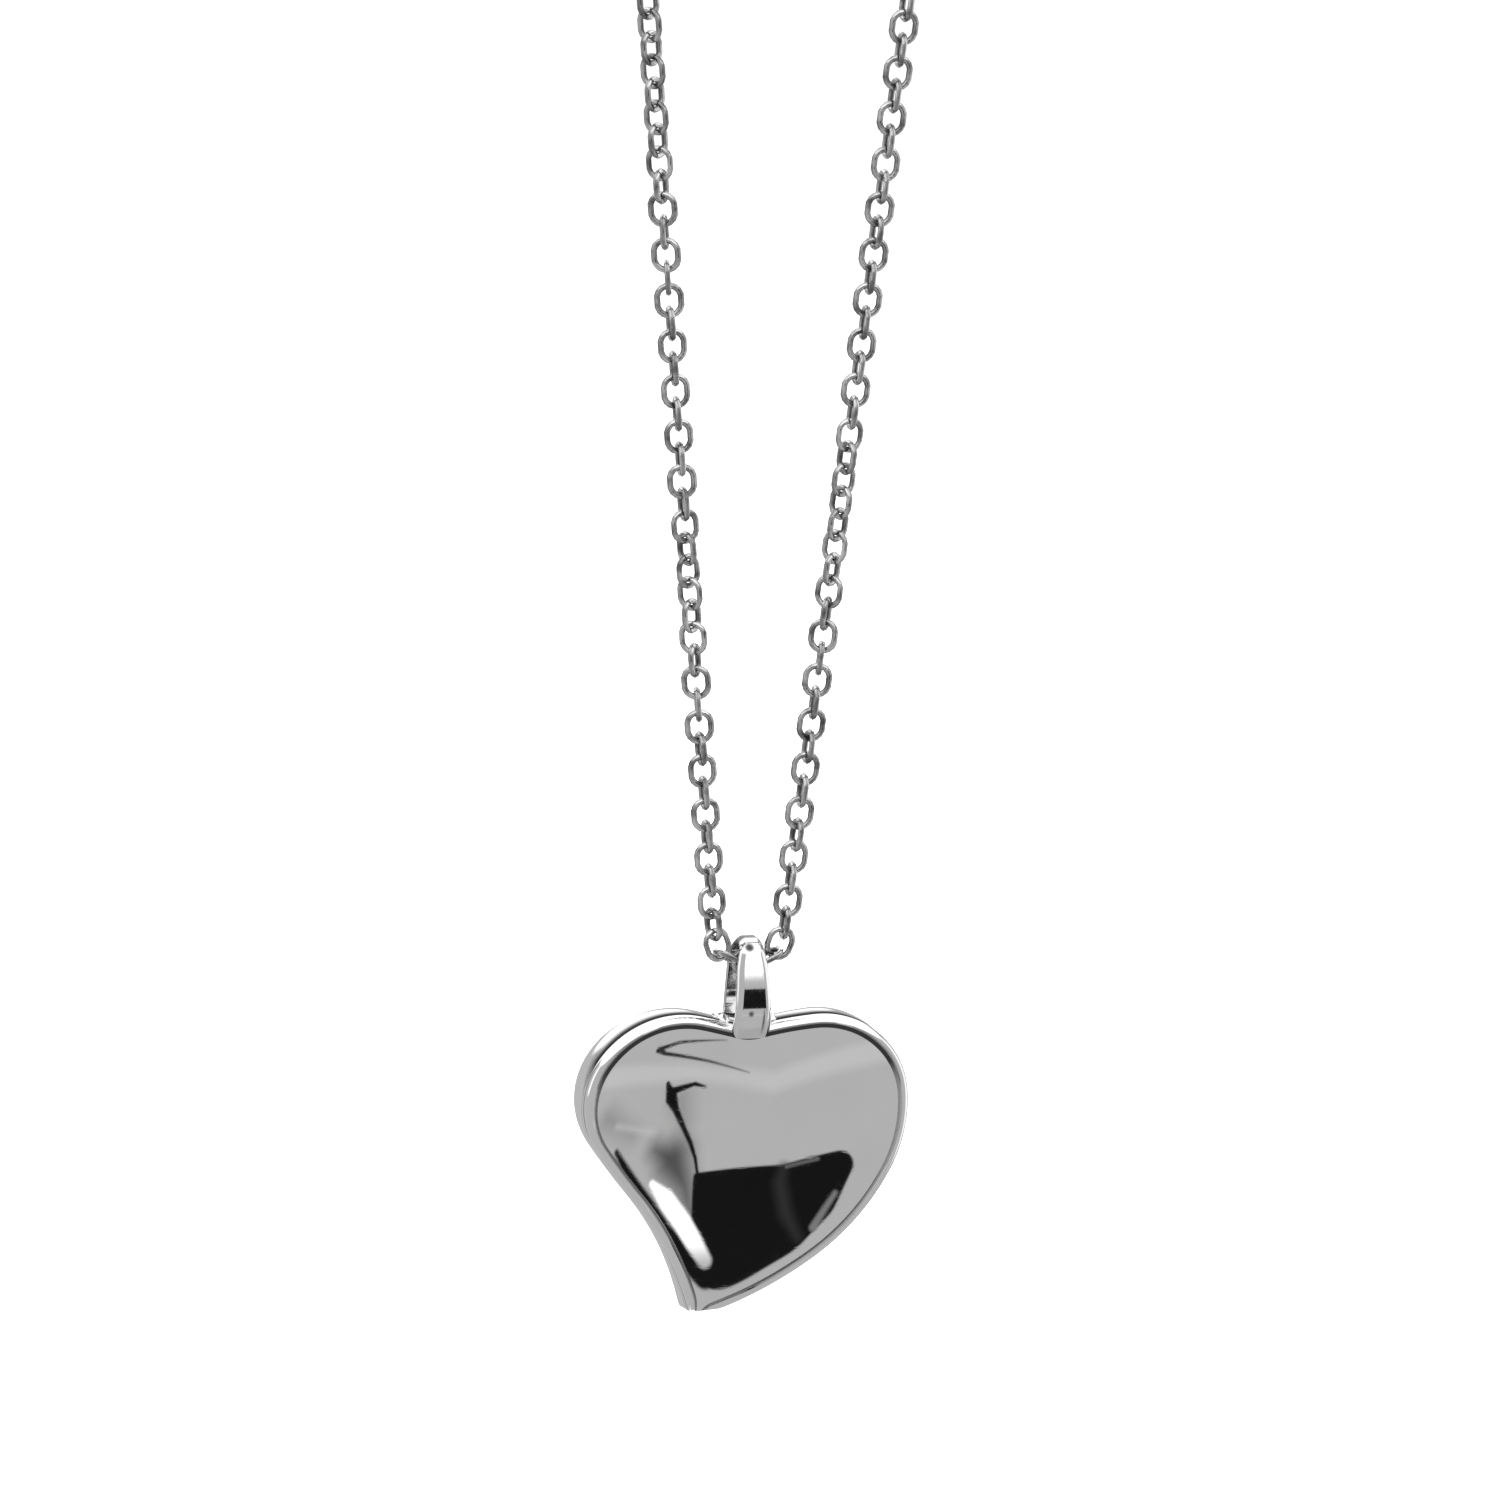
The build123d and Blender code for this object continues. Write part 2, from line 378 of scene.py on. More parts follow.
def heartBack(size, outline, inward, roll, drawn, middle):
    # Roll: a quarter circle; back: rings to the middle, hollowed by (1 - share^2)^2
    half = size["thickness"] / 2
    turn = np.linspace(0, np.pi / 2, size["rollRows"])[1:, None]
    rollGrid = np.concatenate([outline + inward * (drawn + roll * (1 - np.cos(turn)))[..., None],
                               (roll * (1 - np.sin(turn)) - half)[..., None]], -1)
    share = np.linspace(1, 0, size["backRows"] + 1)[1:-1, None, None]
    flat = middle[:2] + share * (rollGrid[-1, :, :2] - middle[:2])
    hollow = np.broadcast_to(size["backHollow"] * (1 - share ** 2) ** 2 - half, flat[..., :1].shape)
    return np.concatenate([rollGrid, np.concatenate([flat, hollow], -1)])


def cutTip(size, whole, lowest, middle):
    # The plane rises to the front; a point's height is the soft maximum of its own and the
    # plane's, (a + b + sqrt((a - b)^2 + ease^2)) / 2, and it stays behind the dish's sphere.
    # Each pass takes the plane's height at the depth that the last one gave. Also returns which
    # points the plane cuts.
    half = size["thickness"] / 2
    local = whole.copy()
    for _ in range(size["tipPasses"]):
        plane = lowest + (local[:, 2] + half) * np.tan(np.radians(size["tipSlope"]))
        above = whole[:, 1] - plane
        local[:, 1] = (whole[:, 1] + plane + np.sqrt(above ** 2 + size["tipEase"] ** 2)) / 2
        local[:, 2] = np.minimum(whole[:, 2], sphereFront(middle, size["dishRadius"], local[:, :2]))
    return local, above < 0


def heartSeamAndShade(size, outline, overSeam):
    # None on the dish; a painted dark reflection line at the start of the front roll, full on the upper side;
    # the seam's dark joint, exp(-(distance / spread)^4), which spreads on the upper side as painted shade;
    # and a little painted shade on the back
    upper = softStep(outline[:, 1], *size["upperFrom"])
    leftward = 1 - softStep(outline[:, 0], *size["lineSide"])
    line = size["lineRight"] + (size["lineLeft"] - size["lineRight"]) * leftward
    line += (1 - line) * upper
    wide = size["lineShare"] + size["lineTop"] * upper
    share = np.linspace(0, 1, size["rollRows"])[:, None]
    low, high = size["lineSoft"]
    roll = line * (1 - softStep(share, low * wide, high * wide))
    shade = size["seamFaint"] + (size["seamDark"] - size["seamFaint"]) * upper
    wall = shade * np.exp(-(overSeam / (size["seamWidth"] + size["seamSpread"] * upper)) ** 4)
    dish = np.zeros((size["dishRows"] - 1, len(outline)))
    back = np.tile(size["backDark"] * upper, (size["rollRows"] + size["backRows"] - 2, 1))
    return np.concatenate([np.concatenate([dish, roll, wall, back]).ravel(), [0, 0]])


def makeHeart(size):
    # Rows run from the dish's middle over the front roll, the wall and the back roll to the
    # back's middle, with a column for each point of the outline. Both rolls shrink by a bell
    # curve of the distance to the tip's left corner.
    table = outlineTable(size)
    outline, headings, along = headingPath((0, -size["notchDrop"]), 0, table, size["columns"],
                                           size["softening"], closed=True)
    inward = np.stack([np.sin(headings), -np.cos(headings)], 1)
    corner = sum(length for length, _ in table[:len(size["rightSide"]) + 2])
    kept = 1 - size["tipShare"] * np.exp(-((along - corner) / size["tipReach"]) ** 2)
    half = size["thickness"] / 2
    middle = np.array([*size["dishCentre"], half + np.sqrt(size["dishRadius"] ** 2 - size["dishEdge"] ** 2)])
    front, wallTop = heartFront(size, outline, inward, size["frontRoll"] * kept, middle)
    backRoll = size["backRoll"] * kept
    wall, overSeam, drawn = heartWall(size, outline, inward, wallTop, backRoll - half)
    grid = np.concatenate([front, wall, heartBack(size, outline, inward, backRoll, drawn, middle)])
    poles = [[*middle[:2], middle[2] - size["dishRadius"]], [*middle[:2], size["backHollow"] - half]]
    whole = np.concatenate([grid.reshape(-1, 3), poles])
    local, cut = cutTip(size, whole, outline[:, 1].min(), middle)
    makePiece("heartBody", placed(*local.T), closedFaces(*grid.shape[:2]), "pendant", "pendant",
              heartSilver, heartSeamAndShade(size, outline, overSeam), flat=cut)


makeHeart(heart)


# Bail

bail = dict(
    thickness=0.45 * mm, crownHeight=1.6 * mm, rearRadius=1.6 * mm, rearLength=4.7 * mm,
    # Lengths in millimetres, and turns in degrees, of the outer face from the crown's top to the toe
    frontArcs=((1.63, -73.0), (1.84, -2.6), (1.5, -12.9), (1.4, -36.5), (0.85, 0.0)),
    crownWidth=1.36 * mm, shoulderWidth=1.9 * mm, footWidth=2.5 * mm, footDrop=5.18 * mm, widthSoftRows=8,
    bevelWidth=0.34 * mm, bevelDrop=0.28 * mm, bevelBulge=0.015 * mm,
    innerRound=0.06 * mm, innerCurve=(0.0, 0.3, 1.0),
    # Painted shade behind the front leg: its darkness on the leg and the crown, how far to the front it
    # ends, and between which heights leg turns to crown
    legDark=0.12, crownDark=0.9, darkFrom=(0.22 * mm, 0.5 * mm), darkAbove=(0.2 * mm, 0.9 * mm),
    # Small painted dark reflections on the front: x, up, and half sizes of each, in millimetres
    marks=((-0.2, 1.1, 0.28, 0.22), (-0.2, -2.78, 0.17, 0.18), (0.6, -3.3, 0.07, 0.8)),
    rows=240, faceColumns=16, bevelColumns=8)


def strapSection(size, halfWidth):
    # From the middle of the outer face to the right, over the bevel, which bulges by a half sine,
    # round the inside to its middle, and the same on the left. across is in metres for each half
    # width, and down is a share of the thickness.
    edge = halfWidth[:, None]
    share = np.linspace(0, 1, size["bevelColumns"])
    bulge = size["bevelBulge"] * np.sin(np.pi * share)
    flat = np.linspace(0, 1, size["faceColumns"])[:-1]
    curve = size["innerRound"] * np.array(size["innerCurve"])
    across = np.concatenate([(edge - size["bevelWidth"]) * flat,
                             edge - size["bevelWidth"] * (1 - share) + bulge,
                             edge - curve, (edge - size["innerRound"]) * flat[::-1]], 1)
    down = np.concatenate([0 * flat, size["bevelDrop"] * share - bulge,
                           size["thickness"] - curve[::-1], size["thickness"] + 0 * flat])
    across = np.concatenate([across, -across[:, -2:0:-1]], 1)
    return across, np.concatenate([down, down[-2:0:-1]]) / size["thickness"]


def makeBail(size):
    # A strap up the back, over the crown and down the front; its inside is its outer path moved
    # in by the thickness, along (sin h, -cos h)
    table = [(size["rearLength"], 0), (np.pi / 2 * size["rearRadius"], -90)]
    table += [(length * mm, turn) for length, turn in size["frontArcs"]]
    start = (-size["rearRadius"], size["crownHeight"] - size["rearRadius"] - size["rearLength"])
    over, headings, _ = headingPath(start, 90, table, size["rows"])
    inner = over + size["thickness"] * np.stack([np.sin(headings), -np.cos(headings)], 1)
    halfWidth = np.interp(over[:, 1], [-size["footDrop"], 0, size["crownHeight"]],
                          [size["footWidth"] / 2, size["shoulderWidth"] / 2, size["crownWidth"] / 2])
    kernel = np.hanning(2 * size["widthSoftRows"] + 1)
    halfWidth = np.convolve(np.pad(halfWidth, size["widthSoftRows"], mode="edge"), kernel / kernel.sum(),
                            mode="valid")
    across, down = strapSection(size, halfWidth)
    front = over[:, :1] + down * (inner - over)[:, :1]
    up = over[:, 1:] + down * (inner - over)[:, 1:]
    ends = (inner + over)[[0, -1]] / 2
    poles = placed(np.zeros(2), ends[:, 1], ends[:, 0])
    points = np.concatenate([placed(across, up, front).reshape(-1, 3), poles])
    # Painted shade behind the front leg, darker up on the crown
    dark = size["legDark"] + (size["crownDark"] - size["legDark"]) * softStep(up, *size["darkAbove"])
    tarnish = dark * (1 - softStep(front, *size["darkFrom"]))
    # A painted dark reflection lies on the strap's outer half in front, and is exp(-away^3), where away is
    # the squared distance in its half sizes
    for markX, markUp, halfX, halfUp in np.array(size["marks"]) * mm:
        away = ((across - markX) / halfX) ** 2 + ((up - markUp) / halfUp) ** 2
        tarnish = np.maximum(tarnish, (front > 0) * (down < 0.5) * np.exp(-away ** 3))
    tarnish = np.concatenate([tarnish.ravel(), [0, 0]])
    makePiece("bailStrap", points, closedFaces(*across.shape), "pendant", "pendant",
              bailSilver, tarnish)


makeBail(bail)


# Solder

solder = dict(
    # x, up, front, and half sizes along each, in millimetres
    beads=((-1.5, -3.55, 0.15, 0.42, 0.38, 0.6), (1.45, -3.55, 0.15, 0.38, 0.36, 0.55),
           (-1.45, -3.6, -1.2, 0.4, 0.35, 0.5), (1.4, -3.6, -1.2, 0.4, 0.35, 0.5)),
    rows=14, columns=24, lumps=0.08)


def makeSolder(size):
    # Each bead is a ball stretched to its half sizes, lumpy by sin(3 turn + 1) sin(2 tilt)
    tilt = np.linspace(0, np.pi, size["rows"] + 2)[1:-1, None]
    turn = np.arange(size["columns"]) * 2 * np.pi / size["columns"]
    lump = 1 + size["lumps"] * np.sin(3 * turn + 1) * np.sin(2 * tilt)
    ball = np.stack([np.sin(tilt) * np.cos(turn) * lump, np.sin(tilt) * np.sin(turn) * lump,
                     np.cos(tilt) + 0 * turn], -1).reshape(-1, 3)
    ball = np.concatenate([ball, [[0, 0, 1], [0, 0, -1]]])
    beads = np.array(size["beads"]) * mm
    local = (beads[:, None, :3] + ball * beads[:, None, 3:]).reshape(-1, 3)
    shift = (np.arange(len(beads)) * len(ball))[:, None, None]
    faceSets = [faces + shift for faces in closedFaces(size["rows"], size["columns"])]
    makePiece("solderBeads", placed(*local.T), [faces.reshape(-1, faces.shape[-1]) for faces in faceSets],
              "pendant", "pendant", bailSilver)


makeSolder(solder)


# Clasp, whose sizes say where the chain ends

clasp = dict(
    ringRadius=2.2 * mm, ringWire=0.9 * mm, ringRounds=96, ringSides=24,
    eyeRadius=0.8 * mm, eyeWire=0.5 * mm, eyeRounds=64, eyeSides=20, hookGap=0.05 * mm)
claspLow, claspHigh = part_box("clasp")
claspHeight = ((claspLow + claspHigh) / 2).z
eyeEnd = clasp["ringRadius"] + 2 * clasp["eyeRadius"] + clasp["eyeWire"] / 2
ringX = (eyeEnd - clasp["ringRadius"] - clasp["ringWire"] / 2) / 2     # both stand evenly about X = 0


def torus(middle, ringRadius, wireRadius, rounds, sides):
    # Ring flat in XY: ((R + r cos b) cos a, (R + r cos b) sin a, r sin b)
    a = np.arange(rounds)[:, None] * 2 * np.pi / rounds
    b = np.arange(sides) * 2 * np.pi / sides
    reach = ringRadius + wireRadius * np.cos(b)
    ring = np.stack([reach * np.cos(a), reach * np.sin(a), wireRadius * np.sin(b) + 0 * a], -1)
    return middle + ring.reshape(-1, 3), gridFaces(rounds + 1, sides) % (rounds * sides)


def makeClasp(size):
    # A ring, and an eye to its left whose centre line touches the ring's
    middle = np.array([ringX, 0, claspHeight])
    eye = middle - np.array([size["ringRadius"] + size["eyeRadius"], 0, 0])
    ringPoints, ringFaces = torus(middle, size["ringRadius"], size["ringWire"] / 2, size["ringRounds"],
                                  size["ringSides"])
    eyePoints, eyeFaces = torus(eye, size["eyeRadius"], size["eyeWire"] / 2, size["eyeRounds"],
                                size["eyeSides"])
    makePiece("claspRing", np.concatenate([ringPoints, eyePoints]),
              [np.concatenate([ringFaces, eyeFaces + len(ringPoints)])],
              "chain", "clasp", claspSilver)


# Chain

chain = dict(
    pitch=1.35 * mm, width=1.82 * mm, wire=0.38 * mm, clearance=0.05 * mm, lean=5.8, bendPlay=0.16 * mm,
    firstHeadings=(26.0, 70.0), frontCount=100, lastLink=164, napeSag=0.1 * mm,
    # Distance from the bail in millimetres, and degrees of twist there
    rightTwist=((0, 0), (17, 0), (27, 45), (36, 90), (60, 90), (100, 130), (150, 180)),
    leftTwist=((0, 20), (8, 0), (16, 0), (23, -45), (30, -90), (40, -90), (52, -140), (150, -180)),
    # Degrees that each link strays from its roll, and the painted shade on the wire's inner and outer
    # side with the power that it falls by
    wander=3.0, seed=7, innerDark=(1.0, 1.5), outerDark=(0.75, 4.0),
    rounds=16, sides=6)


def strandPlaces(size, reach):
    # Centres and headings of a right-hand strand's links. Link n steps on from the last by
    # (cos, sin) of both headings times half the pitch less the bend's play; from frontCount on
    # they lie at even steps along the straight and then round the nape's circle, to end at reach.
    count = size["frontCount"]
    headings = np.full(count + 1, 90 - size["lean"])
    headings[:3] = (0, *size["firstHeadings"])
    play = size["bendPlay"] * np.diff(headings) / 90
    headings = np.radians(headings)
    way = np.stack([np.cos(headings), np.sin(headings)], 1)
    front = np.cumsum((way[1:] + way[:-1]) * (size["pitch"] / 2 - play)[:, None], 0)
    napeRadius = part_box("chain_back")[1].x - size["width"] / 2 - size["napeSag"]
    nape = np.array([0, claspHeight - seat[2] - size["napeSag"] - napeRadius])
    lean = np.radians(size["lean"])
    tangent = nape + napeRadius * np.array([np.cos(lean), -np.sin(lean)])
    straight = np.linalg.norm(tangent - front[-1])
    total = straight + napeRadius * (np.arccos(reach / napeRadius) + lean)
    rest = size["lastLink"] - count
    distance = total * np.arange(1, rest + 1) / rest
    bend = np.maximum(distance - straight, 0) / napeRadius - lean
    onLine = front[-1] + distance[:, None] * way[-1]
    onArc = nape + napeRadius * np.stack([np.cos(bend), np.sin(bend)], 1)
    back = np.where((distance > straight)[:, None], onArc, onLine)
    return np.concatenate([front, back]), np.concatenate([headings[1:], np.pi / 2 + bend])


def linkFrames(size, side, table, reach):
    # Each link's centre, and its length and width directions; the width direction is the
    # heading plus 90 degrees, rolled about the length by 90 n plus the strand's twist
    centres, headings = strandPlaces(size, reach)
    number = np.arange(1, len(centres) + 1)
    twist = np.interp(number * size["pitch"] / mm, *np.array(table, float).T)
    roll = np.radians(90 * number + twist)
    zero = 0 * roll
    length = np.stack([side * np.cos(headings), zero, np.sin(headings)], 1)
    width = np.stack([-side * np.sin(headings) * np.cos(roll), np.sin(roll),
                      np.cos(headings) * np.cos(roll)], 1)
    middle = seat + np.stack([side * centres[:, 0], zero, centres[:, 1]], 1)
    return middle, length, width


def makeLinks(name, size, middle, length, width, node):
    # A link is a stadium of wire: (r cos t + s sign(cos t), r sin t) plus the wire's circle,
    # carried to every place as middle + x length + y width + z normal, where the width sways by
    # a random angle. Painted shade is dark times a power of the cosine towards the link's inside, and
    # the same towards its outside.
    draws = np.random.default_rng(size["seed"])
    sway = np.radians(draws.normal(0, size["wander"], len(middle)))[:, None]
    width = width * np.cos(sway) + np.cross(length, width) * np.sin(sway)
    axes = np.stack([length, width, np.cross(length, width)], 1)
    radius = (size["width"] - size["wire"]) / 2
    straight = (size["pitch"] + size["wire"] + size["clearance"]) / 2 - radius
    t = (np.arange(size["rounds"]) + 0.5)[:, None] * 2 * np.pi / size["rounds"]
    turn = np.arange(size["sides"]) * 2 * np.pi / size["sides"]
    reach = radius + size["wire"] / 2 * np.cos(turn)
    x = straight * np.sign(np.cos(t)) + reach * np.cos(t)
    link = np.stack([x, reach * np.sin(t), size["wire"] / 2 * np.sin(turn) + 0 * t], -1).reshape(-1, 3)
    points = (middle[:, None] + np.einsum("pk,nkc->npc", link, axes)).reshape(-1, 3)
    faces = gridFaces(size["rounds"] + 1, size["sides"]) % len(link)
    shift = (np.arange(len(middle)) * len(link))[:, None, None]
    # Painted shade on the wire's inner and outer sides
    tarnish = 0 * t
    for towards, (dark, power) in ((-np.cos(turn), size["innerDark"]), (np.cos(turn), size["outerDark"])):
        tarnish = tarnish + dark * np.maximum(towards, 0) ** power
    makePiece(name, points, [(faces + shift).reshape(-1, 4)], "chain", node, chainSilver,
              np.tile(tarnish.ravel(), len(middle)))


def makeChain(size):
    # The last links hold the inner edges of the ring's and the eye's wire. The link in the bail
    # lies level and comes first, and the strands' links from frontCount on are the back's.
    linkReach = (size["pitch"] + size["clearance"]) / 2
    ringReach = ringX + clasp["ringRadius"] - clasp["ringWire"] / 2 + clasp["hookGap"] + linkReach
    eyeReach = eyeEnd - ringX - clasp["eyeWire"] - clasp["hookGap"] + linkReach
    strands = [linkFrames(size, 1, size["rightTwist"], ringReach),
               linkFrames(size, -1, size["leftTwist"], eyeReach)]
    seatLink = (seat[None], np.array([[1.0, 0, 0]]), np.array([[0, 0, 1.0]]))
    split = size["frontCount"]
    fronts = [[part[:split] for part in strand] for strand in strands]
    backs = [[part[split:] for part in strand] for strand in strands]
    makeLinks("frontLinks", size, *map(np.concatenate, zip(seatLink, *fronts)), "chain_front")
    makeLinks("backLinks", size, *map(np.concatenate, zip(*backs)), "chain_back")


makeChain(chain)
makeClasp(clasp)


# Studio

studio = dict(
    floorDrop=0.09, floorSize=12.0, floorColour=(0.93, 0.93, 0.93, 1),
    lampHeight=0.9, lampSize=1.1, lampPower=26.0)


def makeStudio(size):
    # A matt floor below the part and a soft lamp over it, and neither shows in the silver
    low = cadBox[0].z - size["floorDrop"]
    half = size["floorSize"] / 2
    mesh = bpy.data.meshes.new("floor")
    mesh.from_pydata([(-half, -half, low), (half, -half, low), (half, half, low), (-half, half, low)], [],
                     [(0, 1, 2, 3)])
    floor = bpy.data.objects.new("floor", mesh)
    bpy.context.scene.collection.objects.link(floor)
    material = bpy.data.materials.new("paleFloor")
    material.use_nodes = True
    term = Term(material.node_tree)
    matt = term.node("BsdfDiffuse", values={"Color": size["floorColour"]})
    material.node_tree.links.new(matt.socket, material.node_tree.nodes["Material Output"].inputs["Surface"])
    mesh.materials.append(material)
    floor.visible_glossy = False
    lamp = bpy.data.lights.new("overheadLamp", "AREA")
    lamp.energy, lamp.size = size["lampPower"], size["lampSize"]
    holder = bpy.data.objects.new("overheadLamp", lamp)
    holder.location = (0, 0, size["lampHeight"])
    holder.visible_glossy = False
    bpy.context.scene.collection.objects.link(holder)


room = dict(
    # Brightness of the front, the floor's side, low behind, the ceiling, the cards and the side flags
    grey=0.47, floorward=0.42, behindLow=0.5, white=1.35, card=1.05, flagged=0.2,
    # Where an edge starts and ends, as x, y or z of a direction; a band is its middle, and the
    # distances from there at which it starts to fade and ends
    floorEdge=(0.88, 0.98), backEdge=(-0.1, 0.15), ceilingEdge=(0.46, 0.54),
    skylineEdge=(0.12, 0.22), skylineBand=(0.0, 0.55, 0.75), cardBand=(-0.05, 0.5, 0.62),
    leftCardEdge=(0.76, 0.84), leftCardBand=(-0.05, 0.15, 0.25), leftCardFoot=(-0.12, 0.02),
    rightCardEdge=(0.8, 0.88), rightCardBand=(0.2, 0.25, 0.35),
    sideFlagBand=(0.66, 0.06, 0.14), sideFlagEdge=(0.45, 0.55), sideFlagTop=(0.3, 0.5),
    # u and v below are x and z of a direction over its share to the front. That share counts as
    # leastShare or more, and what u and v place fades out where it falls through shareFrom.
    leastShare=0.12, shareFrom=(0.1, 0.2),
    # Strokes in the order they are painted: softness, cover and brightness, and (u, v, radius) of
    # each point. First a canopy over the crown, then what stands before the grey.
    farStrokes=dict(
        canopy=(0.03, 1.0, 1.35, (0.25, 0.37, 0.075), (0.25, 0.5, 0.085)),
        glow=(0.06, 0.8, 0.58, (-0.15, -0.6, 0.05), (0.2, -0.46, 0.04), (0.45, -0.53, 0.03),
              (1.0, -0.68, 0.05)),
        lobeShade=(0.16, 0.8, 0.25, (0.78, -0.36, 0.02), (0.95, -0.47, 0.04)),
        lobeStreak=(0.05, 0.7, 0.62, (0.66, -0.34, 0.002), (0.88, -0.42, 0.008)),
        smudge=(0.14, 0.95, 0.07, (0.455, 0.05, 0.01), (0.5, -0.12, 0.04), (0.56, -0.22, 0.075),
                (0.64, -0.27, 0.03)),
        standShade=(0.16, 0.7, 0.2, (0.52, -0.36, 0.01), (0.56, -0.45, 0.03)),
        standLine=(0.01, 1.0, 0.008, (0.45, -0.16, 0.006), (0.4625, -0.2125, 0.007), (0.4875, -0.269, 0.009),
                   (0.525, -0.331, 0.01), (0.575, -0.4125, 0.014), (0.607, -0.467, 0.026),
                   (0.642, -0.54, 0.008)),
        standFoot=(0.01, 1.0, 0.008, (0.61, -0.495, 0.018), (0.5125, -0.503, 0.009), (0.4625, -0.481, 0.004)),
        loopUpper=(0.012, 1.0, 0.03, (0.3, -0.51, 0.001), (0.475, -0.594, 0.005), (0.7, -0.694, 0.009),
                   (0.745, -0.728, 0.014)),
        loopLower=(0.012, 1.0, 0.03, (0.42, -0.68, 0.001), (0.6375, -0.731, 0.008), (0.745, -0.73, 0.013))),
    # The large flag: a board with these (u, v) corners, a lobe under it and a tail at its right
    flagBlack=0.008, flagRounding=0.02, flagSoft=0.01, tailSoft=0.02,
    flagCorners=((-0.09, -0.155), (-0.025, 0.0), (0.1, 0.1225), (0.3, 0.222), (0.37, 0.24),
                 (0.42, 0.235), (0.475, 0.19), (0.465, -0.16)),
    flagLobe=((-0.04, -0.155, 0.045), (0.12, -0.12, 0.042)),
    flagTail=((0.43, 0.19, 0.045), (0.5, 0.12, 0.04), (0.585, 0.03, 0.035), (0.66, -0.07, 0.03),
              (0.86, -0.31, 0.012)),
    flagStrokes=dict(
        arc=(0.05, 1.0, 0.03, (0.09, 0.08, 0.012), (0.13, 0.0, 0.02), (0.15, -0.1, 0.02),
             (0.14, -0.15, 0.01)),
        chip=(0.015, 1.0, 0.2, (-0.03, -0.06, 0.008), (0.04, 0.05, 0.012)),
        strip=(0.01, 1.0, 0.12, (0.03, -0.172, 0.006), (0.13, -0.15, 0.006))),
    # A long lamp before the flag, dim above lampTop and bright from lampFade below it
    lamp=((0.425, 0.135, 0.028), (0.465, 0.07, 0.034), (0.509, 0.0, 0.035), (0.58, -0.085, 0.034),
          (0.648, -0.15, 0.012)),
    lampSoft=0.02, lampDim=0.5, lampBright=1.4, lampTop=0.16, lampFade=0.12)


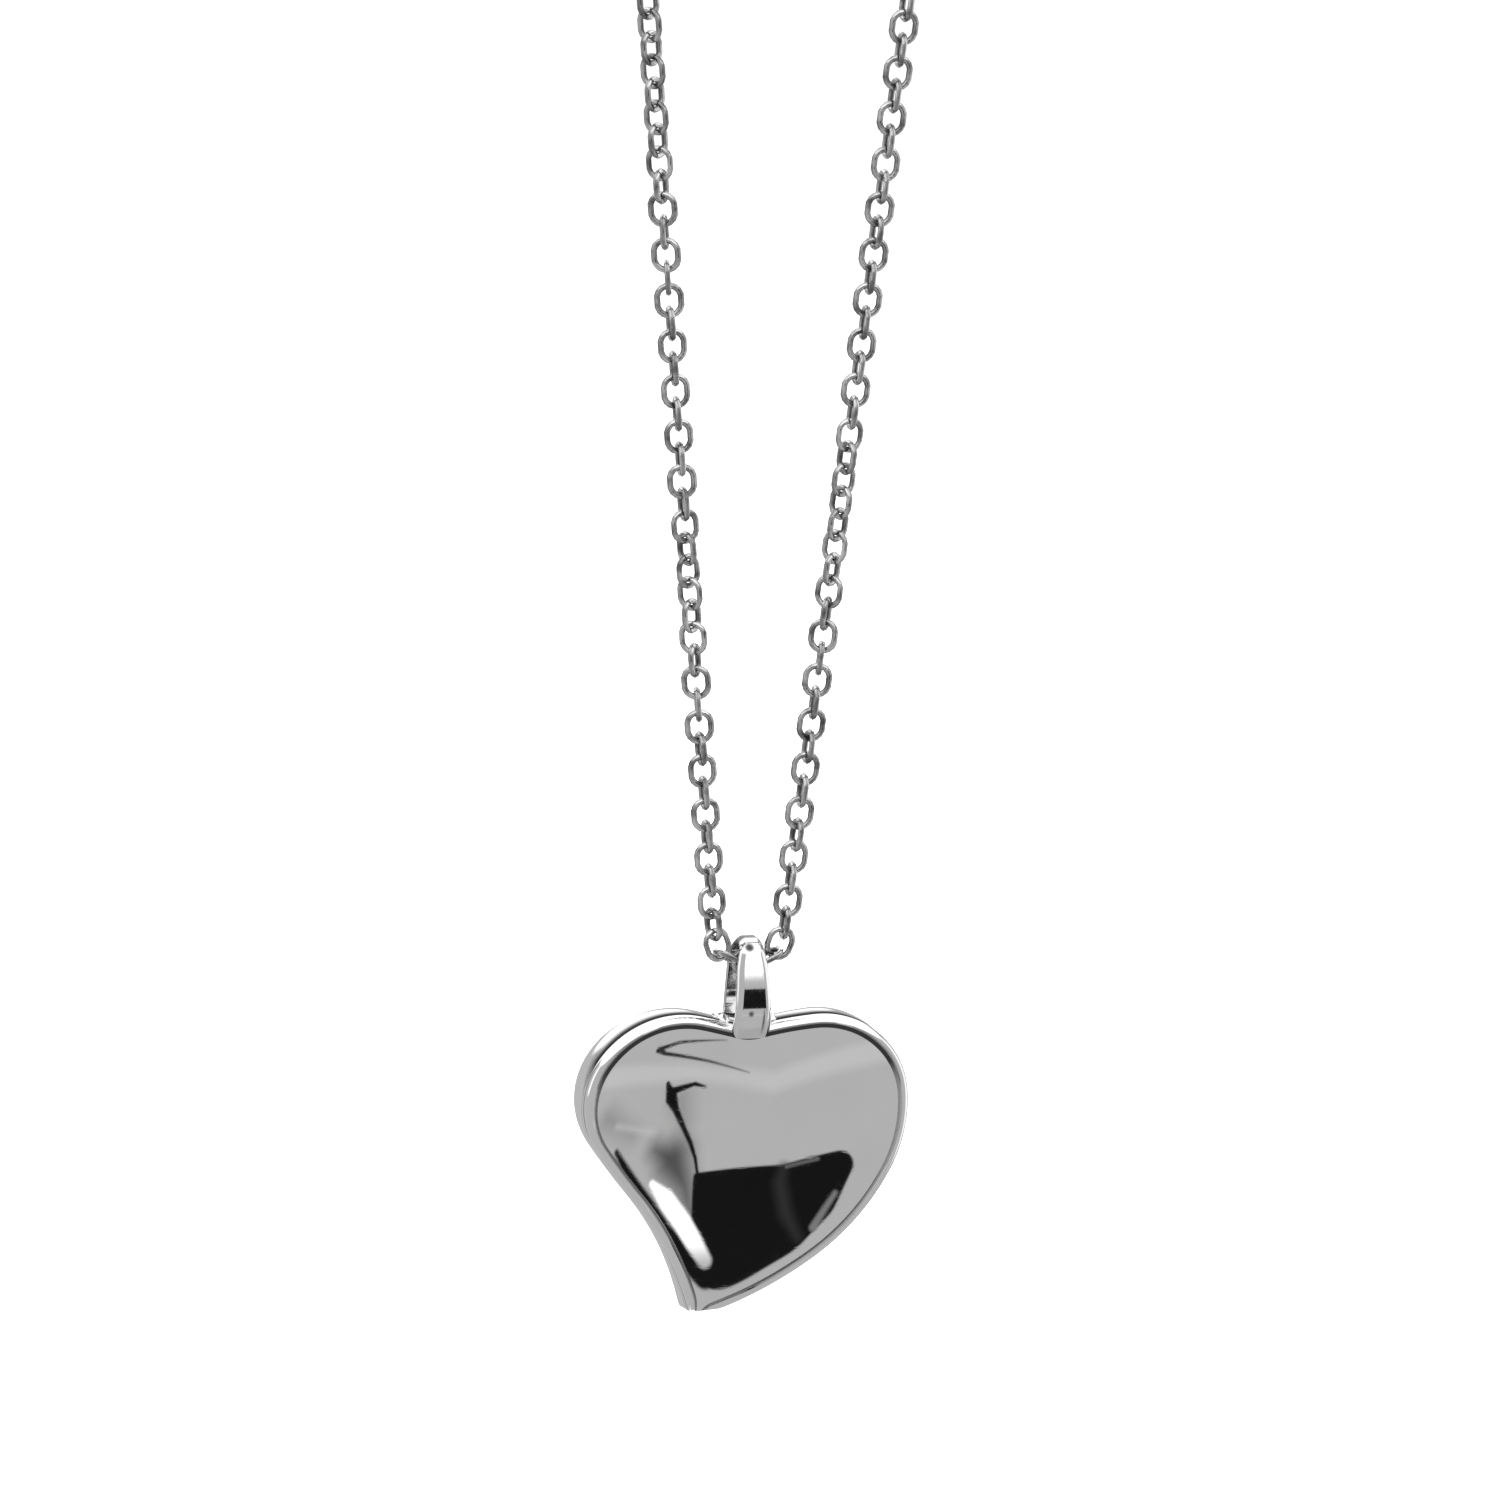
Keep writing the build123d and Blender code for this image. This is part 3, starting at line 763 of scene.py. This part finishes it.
def makeRoom(size):
    # The room that the silver shows, painted by direction, each layer over the last as
    # level + mask (new - level)
    world = bpy.data.worlds.new("room")
    bpy.context.scene.world = world
    world.use_nodes = True
    tree = world.node_tree
    tree.nodes.clear()
    term = Term(tree)
    direction = term.node("TexCoord", output="Generated")
    x, y, z = (term.node("SeparateXYZ", values={0: direction}, output=axis) for axis in range(3))
    forward = mostOf(-1 * y, size["leastShare"])
    inFront = (-1 * y).step(*size["shareFrom"])
    u, v = x / forward, z / forward
    spot = term.node("CombineXYZ", values={0: u, 1: v, 2: 0.0})

    def band(axis, middle, inner, outer):
        # 1 within inner of the middle, falling to 0 at outer
        return 1 - abs(axis - middle).step(inner, outer)

    def stroke(points, soft):
        # 1 inside the tapered stroke, where the distance to each stretch's nearest point is less
        # than its radius there, and falling to 0 over soft
        nearest = None
        for (x0, y0, r0), (x1, y1, r1) in zip(points, points[1:]):
            along = np.array([x1 - x0, y1 - y0, 0.0])
            off = spot.vector("SUBTRACT", {0: spot, 1: (x0, y0, 0.0)})
            share = off.vector("DOT_PRODUCT", {0: off, 1: tuple(along / (along @ along))}, output="Value")
            share = leastOf(mostOf(share, 0.0), 1.0)
            passed = off.vector("SCALE", {0: tuple(along), "Scale": share})
            rest = off.vector("LENGTH", {0: off.vector("SUBTRACT", {0: off, 1: passed})}, output="Value")
            gap = rest - (r0 + share * (r1 - r0))
            nearest = gap if nearest is None else leastOf(nearest, gap)
        return (1 - nearest.step(-soft / 2, soft / 2)) * inFront

    def board(corners, rounding, soft):
        # 1 inside a convex board: the greatest of its edges' signed distances, smoothed
        middle = np.mean(corners, axis=0)
        greatest = None
        for start, end in zip(corners, corners[1:] + corners[:1]):
            normal = np.array([end[1] - start[1], start[0] - end[0]])
            normal = normal / np.linalg.norm(normal)
            normal = normal * np.sign(normal @ (np.array(start) - middle))
            gap = u * normal[0] + v * normal[1] - float(normal @ np.array(start))
            greatest = gap if greatest is None else gap.math("SMOOTH_MAX", greatest, gap, rounding)
        return (1 - greatest.step(-soft / 2, soft / 2)) * inFront

    def paint(under, mask, level):
        return under + mask * (level - under)

    def paintStrokes(level, strokes):
        for soft, cover, bright, *points in strokes.values():
            level = paint(level, stroke(points, soft) * cover, bright)
        return level

    # Walls: grey to the front, white overhead and over a skyline behind
    behind = y.step(*size["backEdge"])
    level = size["grey"] + (-1 * z).step(*size["floorEdge"]) * (size["floorward"] - size["grey"])
    level = paint(level, behind, size["behindLow"])
    skyline = behind * z.step(*size["skylineEdge"]) * band(x, *size["skylineBand"])
    level = paint(level, mostOf(z.step(*size["ceilingEdge"]), skyline), size["white"])
    # White cards at both sides, and dark flags behind them
    low = band(z, *size["cardBand"])
    leftCard = (-1 * x).step(*size["leftCardEdge"]) * band(y, *size["leftCardBand"])
    level = paint(level, leftCard * low * z.step(*size["leftCardFoot"]), size["card"])
    rightCard = x.step(*size["rightCardEdge"]) * band(y, *size["rightCardBand"])
    level = paint(level, rightCard * low, size["card"])
    sideFlag = band(abs(x), *size["sideFlagBand"]) * y.step(*size["sideFlagEdge"])
    level = paint(level, sideFlag * (1 - z.step(*size["sideFlagTop"])), size["flagged"])

    level = paintStrokes(level, size["farStrokes"])
    flag = mostOf(board(size["flagCorners"], size["flagRounding"], size["flagSoft"]),
                  stroke(size["flagLobe"], size["flagSoft"]))
    level = paint(level, mostOf(flag, stroke(size["flagTail"], size["tailSoft"])), size["flagBlack"])
    level = paintStrokes(level, size["flagStrokes"])
    lampLevel = size["lampDim"] + (size["lampTop"] - v).step(0.0, size["lampFade"]) * (
        size["lampBright"] - size["lampDim"])
    level = paint(level, stroke(size["lamp"], size["lampSoft"]), lampLevel)

    # Silver sees the room; every other ray sees plain white, and skips the sums above
    shiny = term.node("LightPath", output="Is Glossy Ray")
    plain = term.node("Background", values={"Color": (1, 1, 1, 1), "Strength": 1.0})
    painted = term.node("Background", values={"Color": (1, 1, 1, 1), "Strength": level})
    both = term.node("MixShader", values={0: shiny, 1: plain, 2: painted})
    out = tree.nodes.new("ShaderNodeOutputWorld")
    tree.links.new(both.socket, out.inputs["Surface"])


makeStudio(studio)
makeRoom(room)
print("studio and room made")


# Camera

view = dict(azimuth=-15.0, elevation=13.0, distance=0.4, roll=1.8, frameWidth=90.1 * mm, sensor=36.0,
            pixels=1500, seatAt=(748.0, 961.6),      # where the seat stands in the photo
            clip=(0.01, 50.0))


def makeCamera(size):
    # Faces the seat from its angles, and then turns until the seat stands at its pixel
    azimuth, elevation = np.radians(size["azimuth"]), np.radians(size["elevation"])
    away = Vector((np.sin(azimuth) * np.cos(elevation), -np.cos(azimuth) * np.cos(elevation),
                   np.sin(elevation)))
    data = bpy.data.cameras.new("camera")
    data.sensor_width = size["sensor"]
    data.lens = size["sensor"] * size["distance"] / size["frameWidth"]
    data.clip_start, data.clip_end = size["clip"]
    camera = bpy.data.objects.new("camera", data)
    bpy.context.scene.collection.objects.link(camera)
    focal = size["pixels"] * data.lens / size["sensor"]
    right, down = (pixel - size["pixels"] / 2 for pixel in size["seatAt"])
    turn = (-away).to_track_quat("-Z", "Y").to_matrix().to_4x4()
    for angle, axis in ((np.radians(size["roll"]), "Z"), (np.arctan(down / focal), "X"),
                        (np.arctan(right / focal), "Y")):
        turn = turn @ Matrix.Rotation(angle, 4, axis)
    camera.matrix_world = Matrix.Translation(Vector(seat) + away * size["distance"]) @ turn
    bpy.context.scene.camera = camera


makeCamera(view)
bpy.context.scene.view_settings.view_transform = "Standard"
bpy.context.scene.view_settings.look = "None"
print("camera set")
